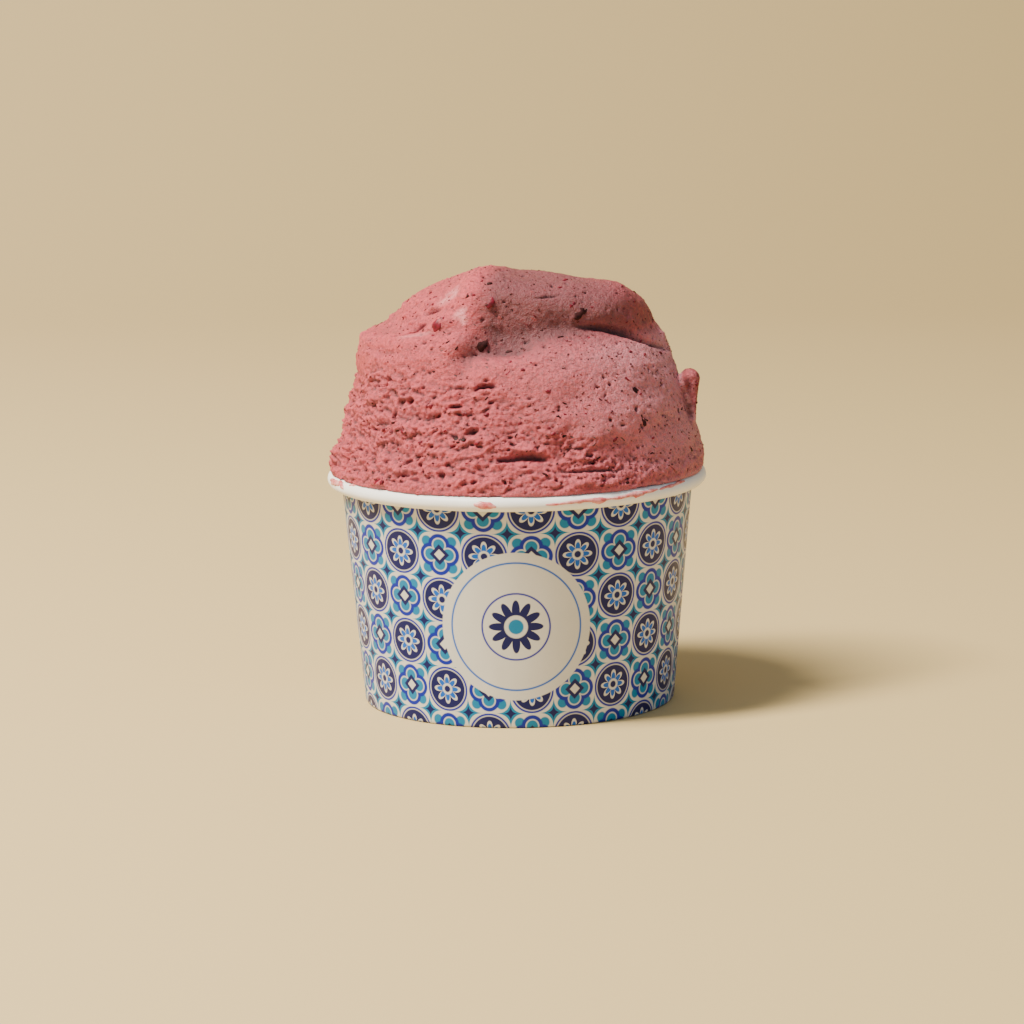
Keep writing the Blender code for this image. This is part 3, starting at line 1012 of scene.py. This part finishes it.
# Dark berry tone for random dark grains, and painted shade colour inside pits.
BERRY_DARK_AND_PIT_SHADE = (0.085, 0.012, 0.019, 1)
SKIN_SPECK = (0.065, 0.018, 0.020, 1)
FLESH_SPECK = (0.26, 0.010, 0.014, 1)
CLOUD_SCALE = 95.0
MOTTLE_SCALE = 620.0
FROST_SCALE = 1500.0
FOAM_SCALE = 1400.0
FOAM_DEPTH = 0.58 * MM


def tinted(tree, colour, label, share, tone):
    """The colour turned to this tone where the value of this name is high."""
    return mix_colour(tree, calc(tree, "MULTIPLY", value_of(tree, label), share), colour, tone)


def specks(tree, place, colour, tone, size, share, reach):
    """Scattered specks: a few of the cells hold one, smaller than its cell."""
    cell = wire(tree, "ShaderNodeTexVoronoi", place, size, feature="F1", voronoi_dimensions="3D").node
    pick = wire(tree, "ShaderNodeSeparateColor", cell.outputs["Color"]).node.outputs
    chosen = calc(tree, "LESS_THAN", pick["Red"], share)
    radius = calc(tree, "MULTIPLY_ADD", pick["Green"], reach, reach * 0.35)
    near = calc(tree, "LESS_THAN", cell.outputs["Distance"], radius)
    return mix_colour(tree, calc(tree, "MULTIPLY", chosen, near), colour, tone)


berry_gelato, tree, shader = new_material("berry gelato")
cloud = texture(tree, CLOUD_SCALE, 3.0, 0.55)
mottle = texture(tree, MOTTLE_SCALE, 3.0, 0.6)
frost = texture(tree, FROST_SCALE, 2.0, 0.75)
foam = texture(tree, FOAM_SCALE, 4.0, 0.78)
foam = calc(tree, "MULTIPLY_ADD", mottle, 0.8, foam)
colour = mix_colour(tree, ramp(tree, cloud, 0.35, 0.68), BERRY_PINK, BERRY_MAUVE)
# Lighter tone from random mottling, and painted light on proud points.
pale_and_ridge_light = ramp(tree, mottle, 0.45, 0.75, 0.0, 0.45)
pale_and_ridge_light = calc(tree, "MAXIMUM", pale_and_ridge_light, calc(tree, "MULTIPLY", value_of(tree, "ridge_light"), 0.45))
colour = mix_colour(tree, pale_and_ridge_light, colour, BERRY_PALE_AND_RIDGE_LIGHT)
# Painted shade tone on the right side, away from the key light.
colour = tinted(tree, colour, "shaded_side_tint", 0.9, BERRY_SHADED_SIDE_TINT)
colour = mix_colour(tree, ramp(tree, frost, 0.50, 0.64, 0.0, 0.60), colour, BERRY_PALE_AND_RIDGE_LIGHT)
colour = mix_colour(tree, ramp(tree, frost, 0.48, 0.35, 0.0, 0.50), colour, BERRY_DARK_AND_PIT_SHADE)
# Painted shade on the cap's face, the fold under the cap, the petal and a patch of the body.
colour = tinted(tree, colour, "painted_shade", 0.84, BERRY_PAINTED_SHADE)
# Painted shade: pits darkened by how deep they lie.
colour = tinted(tree, colour, "pit_shade", 0.9, BERRY_DARK_AND_PIT_SHADE)
# Painted shade tone on downward faces.
colour = tinted(tree, colour, "under", 0.7, BERRY_UNDERSIDE_SHADE)
flow = wire(tree, "ShaderNodeAttribute", attribute_name="flow").node.outputs["Vector"]
colour = specks(tree, flow, colour, FLESH_SPECK, 0.62, 0.30, 0.16)
colour = specks(tree, flow, colour, SKIN_SPECK, 0.80, 0.26, 0.13)
rough = calc(tree, "MULTIPLY_ADD", frost, 0.4, 0.44)
wetness = calc(tree, "MULTIPLY", value_of(tree, "gloss_and_highlight"), 0.35)
fill(
    tree,
    shader,
    # Painted highlight: glossy patches lightened in colour, besides their lower roughness.
    Base_Color=tinted(tree, colour, "gloss_and_highlight", 0.6, PAINTED_GLOSS_HIGHLIGHT),
    Roughness=calc(tree, "SUBTRACT", rough, wetness, clamp=True),
    Subsurface_Weight=0.1,
    Subsurface_Radius=(0.6, 0.5, 0.5),
    Subsurface_Scale=1.6 * MM,
    Specular_IOR_Level=0.9,
    Normal=wire(tree, "ShaderNodeBump", 1.0, FOAM_DEPTH, None, foam),
)
heap.materials.clear()
heap.materials.append(berry_gelato)

gelato = placed("gelato_heap", heap)
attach(gelato, "root")
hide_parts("gelato")

# Berry skins, flesh and seeds
# Torn skins, crushed red flesh and broken seeds of the berries, churned into the gelato. Each kind
# is one piece: a few large bits lie where they show, and the rest are strewn over the surface.
heap_points = (read_rows(heap.vertices, "co") / MM).tolist()
HEAP_TREE = BVHTree.FromPolygons(heap_points, [tuple(face.vertices) for face in heap.polygons])
# Large skins: turn, height, length, width, thickness and lean in degrees, in millimetres
SKINS = (
    (-14.4, 102.0, 2.6, 1.1, 0.5, 20),
    (-23.7, 99.0, 2.2, 1.2, 0.6, 40),
    (-16.6, 88.2, 4.8, 3.6, 2.0, 10),
    (-4.0, 86.3, 3.2, 2.1, 1.4, 25),
    (33.0, 95.0, 3.8, 2.4, 1.3, 30),
    (46.4, 77.0, 3.2, 1.7, 1.1, -35),
    (45.8, 71.0, 3.8, 1.6, 1.0, 100),
    (35.5, 57.8, 2.6, 1.3, 0.6, 60),
    (-19.6, 67.9, 3.6, 2.1, 1.9, 5),
    (14.2, 72.8, 1.6, 1.0, 0.6, -20),
    (16.3, 68.6, 1.9, 1.2, 0.5, 10),
    (69.3, 61.8, 2.0, 1.2, 0.6, -50),
    (-3.3, 58.8, 2.2, 1.0, 0.5, 0),
    (62.0, 91.5, 1.9, 0.7, 0.4, -55),
    (-76.0, 75.5, 3.0, 0.9, 0.5, 80),
    (118.0, 82.0, 3.0, 1.6, 0.8, 20),
    (-128.0, 71.0, 2.8, 1.7, 0.8, -15),
    (165.0, 92.0, 2.7, 1.5, 0.8, 35),
    (-160.0, 63.0, 2.4, 1.3, 0.6, 5),
    (141.0, 60.0, 2.6, 1.2, 0.7, -25),
)
# Crushed flesh: the same values
FLESH = (
    (-34.5, 93.2, 4.0, 3.0, 2.4, 70),
    (-11.8, 98.0, 2.6, 1.9, 0.9, 60),
    (29.2, 96.8, 1.9, 1.5, 0.9, 30),
    (44.0, 79.6, 2.8, 0.9, 0.5, -40),
    (3.0, 85.9, 1.0, 0.8, 0.5, 90),
    (-2.8, 82.8, 1.5, 0.8, 0.4, 40),
    (-32.1, 75.0, 2.0, 1.8, 1.3, 0),
    (-40.3, 68.9, 1.2, 1.0, 0.6, 0),
    (-43.2, 64.7, 1.3, 1.1, 0.6, 30),
    (-5.5, 63.0, 3.2, 1.1, 0.8, 8),
    (25.5, 62.8, 1.5, 1.1, 0.7, 0),
    (77.4, 89.2, 1.2, 0.8, 0.4, 0),
    (-45.9, 57.6, 3.2, 2.2, 1.3, 20),
    (-77.2, 74.0, 2.6, 0.9, 0.6, 85),
    (-14.0, 91.2, 0.9, 0.7, 0.4, 60),
    (100.0, 68.0, 2.0, 1.4, 0.8, 30),
    (-112.0, 84.0, 2.2, 1.6, 0.8, 10),
    (170.0, 74.0, 2.4, 1.5, 0.8, -20),
    (-150.0, 88.0, 1.8, 1.2, 0.7, 45),
)
# How far a bit is pressed in and how much it curls, as shares of its thickness
BIT_SINK = 0.38
BIT_CURL = 0.25
CHIP_SCALE = 1500.0
SKIN_DARK = (0.014, 0.003, 0.003, 1)
SKIN_PURPLE = (0.048, 0.011, 0.012, 1)
FLESH_RED = (0.19, 0.004, 0.019, 1)
FLESH_DEEP = (0.085, 0.004, 0.011, 1)
SEED_BROWN = (0.14, 0.028, 0.030, 1)
SEED_DARK = (0.050, 0.014, 0.015, 1)


def strewn_bits_tree():
    """Strews ragged bits over a surface, long side along the stroke and pressed into it."""
    tree, given, made = new_tree(
        "strewn bits",
        "GeometryNodeTree",
        {
            "Surface": ("Geometry", None),
            "Per Square Metre": ("Float", 3000.0),
            "Lowest": ("Float", 0.0575),
            "Smallest": ("Float", 0.5),
            "Largest": ("Float", 1.0),
            "Size": ("Vector", (0.001, 0.0006, 0.0003)),
            "Lean": ("Float", 0.0),
            "Turn Spread": ("Float", 0.5),
            "Raggedness": ("Float", 0.2),
            "Detail": ("Int", 2),
            "Seed": ("Int", 0),
            "Look": ("Material", None),
        },
        {"Bits": "Geometry"},
    )
    place = wire(tree, "GeometryNodeInputPosition")
    height = wire(tree, "ShaderNodeSeparateXYZ", place).node.outputs["Z"]
    shown = wire(tree, "FunctionNodeCompare", height, given["Lowest"], operation="GREATER_THAN")
    strew = wire(tree, "GeometryNodeDistributePointsOnFaces").node
    fill(
        tree,
        strew.inputs,
        Mesh=given["Surface"],
        Selection=shown,
        Density=given["Per Square Metre"],
        Seed=given["Seed"],
    )
    normal = strew.outputs["Normal"]
    level = wire(tree, "ShaderNodeVectorMath", (0, 0, 1.0), normal, operation="CROSS_PRODUCT")
    align = "FunctionNodeAlignRotationToVector"
    lying = wire(tree, align, strew.outputs["Rotation"], 1.0, level, axis="X", pivot_axis="Z")
    draw = "FunctionNodeRandomValue"
    spread = given["Turn Spread"]
    seed = given["Seed"]
    scale = wire(tree, draw, given["Smallest"], given["Largest"], None, seed, data_type="FLOAT")
    least = calc(tree, "MULTIPLY", spread, -1.0)
    seed = whole(tree, "ADD", seed, 7)
    swing = wire(tree, draw, least, spread, None, seed, data_type="FLOAT")
    size = wire(tree, "ShaderNodeVectorMath", given["Size"], scale, operation="SCALE")
    blob = wire(tree, "GeometryNodeMeshIcoSphere", 0.5, given["Detail"])
    laid = wire(tree, "GeometryNodeInstanceOnPoints", strew.outputs["Points"]).node
    fill(tree, laid.inputs, Instance=blob, Rotation=lying, Scale=size)
    leaning = calc(tree, "ADD", swing, given["Lean"])
    leaning = wire(tree, "ShaderNodeCombineXYZ", 0.0, 0.0, leaning)
    turned = wire(tree, "GeometryNodeRotateInstances", laid.outputs[0], None, leaning)
    real = wire(tree, "GeometryNodeRealizeInstances", turned)
    rough = wire(tree, "ShaderNodeTexNoise", place, CHIP_SCALE, 1.0, 0.5).node.outputs["Color"]
    push = wire(tree, "ShaderNodeVectorMath", rough, (0.5, 0.5, 0.5), operation="SUBTRACT")
    far = calc(tree, "MULTIPLY", given["Raggedness"], MM)
    push = wire(tree, "ShaderNodeVectorMath", push, far, operation="SCALE")
    ragged = wire(tree, "GeometryNodeSetPosition", real, None, None, push)
    smooth = wire(tree, "GeometryNodeSetShadeSmooth", ragged)
    whole_bits = wire(tree, "GeometryNodeRealizeInstances", smooth)
    tree.links.new(wire(tree, "GeometryNodeSetMaterial", whole_bits, None, given["Look"]), made["Bits"])
    return tree


STREWN_BITS = strewn_bits_tree()


def laid_bit(bm, turn, height, length, width, thick, lean):
    """Adds one ragged bit, lying on the gelato at this turn and height."""
    start = Vector((0, 0, height))
    out = Vector((sin(radians(turn)), -cos(radians(turn)), 0))
    spot, normal, _, _ = HEAP_TREE.ray_cast(start, out)
    normal = (normal + out + Vector((0, 0, 0.25))).normalized()
    level = Vector((0, 0, 1)).cross(normal).normalized()
    upward = normal.cross(level)
    along = level * cos(radians(lean)) + upward * sin(radians(lean))
    across = normal.cross(along)
    middle = spot - normal * BIT_SINK * thick
    made = bmesh.ops.create_icosphere(bm, subdivisions=3, radius=0.5)
    for vert in made["verts"]:
        x, y, z = vert.co
        ragged = 1 + 0.35 * noise.noise(vert.co * 2.4 + middle) + 0.15 * noise.noise(vert.co * 8 + middle)
        curl = BIT_CURL * thick * (4 * x * x - 0.3)
        flat = along * x * length + across * y * width
        vert.co = middle + ragged * flat + normal * (z * thick * ragged + curl)
        vert.co *= MM


def bits_piece(name, large, values, look):
    """One piece from the strewn bits of a kind and its large ones."""
    strewn = grown(name, heap.copy(), STREWN_BITS, {**values, "Look": look})
    bm = bmesh.new()
    for row in large:
        laid_bit(bm, *row)
    for face in bm.faces:
        face.smooth = True
    bm.from_mesh(strewn.data)
    bm.to_mesh(strewn.data)
    bm.free()
    strewn.data.materials.clear()
    strewn.data.materials.append(look)
    return strewn


def berry_look(name, light, dark, scale, gloss, glow, shine):
    """Material of one kind of bit: blotched from light to dark, glossy, a little translucent."""
    look, tree, shader = new_material(name)
    blotch = texture(tree, scale, 3.0, 0.6)
    fill(
        tree,
        shader,
        Base_Color=mix_colour(tree, ramp(tree, blotch, 0.38, 0.62), dark, light),
        Roughness=calc(tree, "MULTIPLY_ADD", blotch, 0.4, gloss),
        Specular_IOR_Level=shine,
        Subsurface_Weight=glow,
        Subsurface_Radius=(1.0, 0.3, 0.25),
        Subsurface_Scale=0.6 * MM,
        Normal=wire(tree, "ShaderNodeBump", 0.5, 0.12 * MM, None, blotch),
    )
    return look


skins = bits_piece(
    "berry_skins",
    SKINS,
    {
        "Per Square Metre": 4400.0,
        "Smallest": 0.3,
        "Largest": 1.0,
        "Size": (1.9 * MM, 0.65 * MM, 0.36 * MM),
        "Lean": 0.25,
        "Turn Spread": 0.9,
        "Raggedness": 0.35,
        "Detail": 2,
        "Seed": 21,
    },
    berry_look("berry skin", SKIN_PURPLE, SKIN_DARK, 900.0, 0.35, 0.0, 0.12),
)
flesh = bits_piece(
    "berry_flesh",
    FLESH,
    {
        "Per Square Metre": 11000.0,
        "Smallest": 0.35,
        "Largest": 1.0,
        "Size": (1.5 * MM, 0.8 * MM, 0.55 * MM),
        "Lean": 0.2,
        "Turn Spread": 0.8,
        "Raggedness": 0.4,
        "Detail": 2,
        "Seed": 34,
    },
    berry_look("berry flesh", FLESH_RED, FLESH_DEEP, 700.0, 0.24, 0.06, 0.3),
)
seeds = bits_piece(
    "berry_seeds",
    (),
    {
        "Per Square Metre": 130000.0,
        "Smallest": 0.45,
        "Largest": 1.15,
        "Size": (0.80 * MM, 0.42 * MM, 0.34 * MM),
        "Lean": 0.25,
        "Turn Spread": 0.7,
        "Raggedness": 0.12,
        "Detail": 1,
        "Seed": 55,
    },
    berry_look("berry seed", SEED_BROWN, SEED_DARK, 1200.0, 0.4, 0.1, 0.25),
)
for bits in (skins, flesh, seeds):
    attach(bits, "root")

# Rim smears
# Melted gelato wiped and dripped on the paper roll as the cup was filled. Each smear is a thin
# skin of gelato, which lies on the roll and thins out at its edges.
# Smears: turns of their start and end, how far they lie round the roll at both ends (90 is on
# top, 0 outside), width in millimetres, thickness, and how much they waver
SMEARS = (
    (-77, -66, 12, 50, 1.4, 0.40, 0.9),
    (-69, -64, 50, 8, 1.0, 0.35, 0.5),
    (-62, -58, 55, 62, 0.6, 0.25, 0.6),
    (-79, -74, 20, 44, 0.9, 0.30, 0.8),
    (-13, -6, 8, -6, 1.7, 0.35, 0.5),
    (8, 32, 2, 16, 0.8, 0.28, 0.7),
    (13, 22, 12, 6, 0.6, 0.22, 0.9),
    (28, 47, 14, 34, 1.0, 0.32, 0.6),
    (35, 41, 24, 20, 1.4, 0.40, 0.5),
    (22, 27, 10, 10, 1.6, 0.40, 0.4),
    (47, 62, 30, 52, 0.8, 0.26, 0.9),
    (118, 131, 40, 58, 0.8, 0.25, 0.8),
    (-160, -149, 25, 45, 0.9, 0.25, 0.8),
)
SMEAR_COLUMNS = 10
SMEAR_SINK = 0.03
SMEAR_PINK = (0.55, 0.075, 0.085, 1)
SMEAR_THIN = (0.80, 0.36, 0.34, 1)


def smear_lump(bm, start, end, low, high, width, thick, waver):
    """Adds one smear: a closed flat skin, which follows the roll."""
    steps = max(10, int(abs(end - start) * 2.4))
    seed = Vector((start, low, width))
    rings = []
    for step in range(steps + 1):
        share = step / steps
        taper = (1 - abs(2 * share - 1) ** 2.5) ** 0.5
        spread = width * taper * (1 + waver * noise.noise(seed + Vector((share * 5, 0, 0)))) + 0.03
        tilt = low + (high - low) * share + 16 * waver * noise.noise(seed + Vector((share * 3, 4, 0)))
        turn = radians(start + (end - start) * share)
        ring = []
        for column in range(SMEAR_COLUMNS):
            angle = 2 * pi * column / SMEAR_COLUMNS
            lie = radians(tilt) + spread / 2 * cos(angle) / ROLL
            lift = (thick * taper * max(sin(angle), 0) + 0.02 * sin(angle)) - SMEAR_SINK
            out = RIM - ROLL + (ROLL + lift) * cos(lie)
            rise = RIM_MIDDLE + (ROLL + lift) * sin(lie)
            ring.append(bm.verts.new((out * sin(turn) * MM, -out * cos(turn) * MM, rise * MM)))
        rings.append(ring)
    for first, second in zip(rings, rings[1:]):
        for column in range(SMEAR_COLUMNS):
            after = (column + 1) % SMEAR_COLUMNS
            bm.faces.new((first[column], first[after], second[after], second[column]))
    bm.faces.new(list(reversed(rings[0])))
    bm.faces.new(rings[-1])


bm = bmesh.new()
for row in SMEARS:
    smear_lump(bm, *row)
bmesh.ops.recalc_face_normals(bm, faces=bm.faces)
mesh = bpy.data.meshes.new("rim_smears")
bm.to_mesh(mesh)
bm.free()
mesh.shade_smooth()
smear_look, tree, shader = new_material("gelato smear")
streak = texture(tree, 700.0, 3.0, 0.6)
fill(
    tree,
    shader,
    Base_Color=mix_colour(tree, ramp(tree, streak, 0.35, 0.65), SMEAR_THIN, SMEAR_PINK),
    Roughness=calc(tree, "MULTIPLY_ADD", streak, 0.4, 0.15),
    Subsurface_Weight=0.2,
    Subsurface_Radius=(1.0, 0.5, 0.4),
    Subsurface_Scale=0.6 * MM,
    Normal=wire(tree, "ShaderNodeBump", 0.4, 0.08 * MM, None, streak),
)
mesh.materials.append(smear_look)
smears = placed("rim_smears", mesh)
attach(smears, "root")

# Table, light and camera
# A warm beige sweep: flat under the cup, then curved up into a backdrop. A tall soft key light
# stands at the front left, and a weak cool light fills from all round.
SWEEP_HALF_WIDTH = 5.0
SWEEP_FRONT = -4.0
SWEEP_BEND = 0.75
SWEEP_RADIUS = 0.7
SWEEP_TOP = 3.0
# Painted light falloff: the sweep is lighter at the left, towards the key light, and darker at the right.
BEIGE_LIT_LEFT = (0.61, 0.443, 0.210, 1)
BEIGE_SHADED_RIGHT = (0.515, 0.369, 0.160, 1)
KEY_PLACE = (-0.77, -0.39, 1.38)
KEY_SIZE = (0.29, 0.72)
KEY_POWER = 80
KEY_TONE = (1.0, 0.94, 0.80)
FILL_TONE = (0.65, 0.81, 1.0, 1)
FILL_STRENGTH = 0.56
CAMERA_PLACE = (0, -1.0, 0.213)
CAMERA_LENS = 149.6
CAMERA_TURN = 0.0013
CAMERA_DIP = 0.1668
CAMERA_ROLL = -0.014

beige, tree, shader = new_material("beige table")
place = tree.nodes.new("ShaderNodeTexCoord").outputs["Object"]
across = wire(tree, "ShaderNodeSeparateXYZ", place).node.outputs["X"]
across = calc(tree, "MULTIPLY_ADD", texture(tree, 3.0, 3.0, 0.5), 0.1, across)
# Painted light falloff across the sweep, lighter at the left and darker at the right.
shade = mix_colour(tree, ramp(tree, across, -0.20, 0.30), BEIGE_LIT_LEFT, BEIGE_SHADED_RIGHT)
fill(tree, shader, Base_Color=shade, Roughness=0.75)
profile = [(SWEEP_FRONT, 0)]
for part in range(25):
    angle = radians(90) * part / 24
    profile.append((SWEEP_BEND + SWEEP_RADIUS * sin(angle), SWEEP_RADIUS * (1 - cos(angle))))
profile.append((SWEEP_BEND + SWEEP_RADIUS, SWEEP_TOP))
sides = [(side * SWEEP_HALF_WIDTH, y, z) for y, z in profile for side in (-1, 1)]
strips = [(2 * row, 2 * row + 1, 2 * row + 3, 2 * row + 2) for row in range(len(profile) - 1)]
mesh = bpy.data.meshes.new("sweep")
mesh.from_pydata(sides, [], strips)
mesh.shade_smooth()
mesh.materials.append(beige)
table = placed("sweep", mesh)

key = placed("key_light", bpy.data.lights.new("key light", "AREA"))
key.data.shape = "RECTANGLE"
key.data.size, key.data.size_y = KEY_SIZE
key.data.energy = KEY_POWER
key.data.color = KEY_TONE
key.location = KEY_PLACE
key.rotation_euler = (-Vector(KEY_PLACE)).to_track_quat("-Z", "Y").to_euler()

world = bpy.data.worlds.new("studio")
world.use_nodes = True
sky = world.node_tree.nodes["Background"].inputs
fill(world.node_tree, sky, Color=FILL_TONE, Strength=FILL_STRENGTH)
bpy.context.scene.world = world

camera = placed("camera", bpy.data.cameras.new("camera"))
camera.data.lens = CAMERA_LENS
camera.data.sensor_width = 36
camera.matrix_world = (
    Matrix.Translation(CAMERA_PLACE)
    @ Matrix.Rotation(CAMERA_TURN, 4, "Z")
    @ Matrix.Rotation(radians(90) - CAMERA_DIP, 4, "X")
    @ Matrix.Rotation(CAMERA_ROLL, 4, "Z")
)
bpy.context.scene.camera = camera
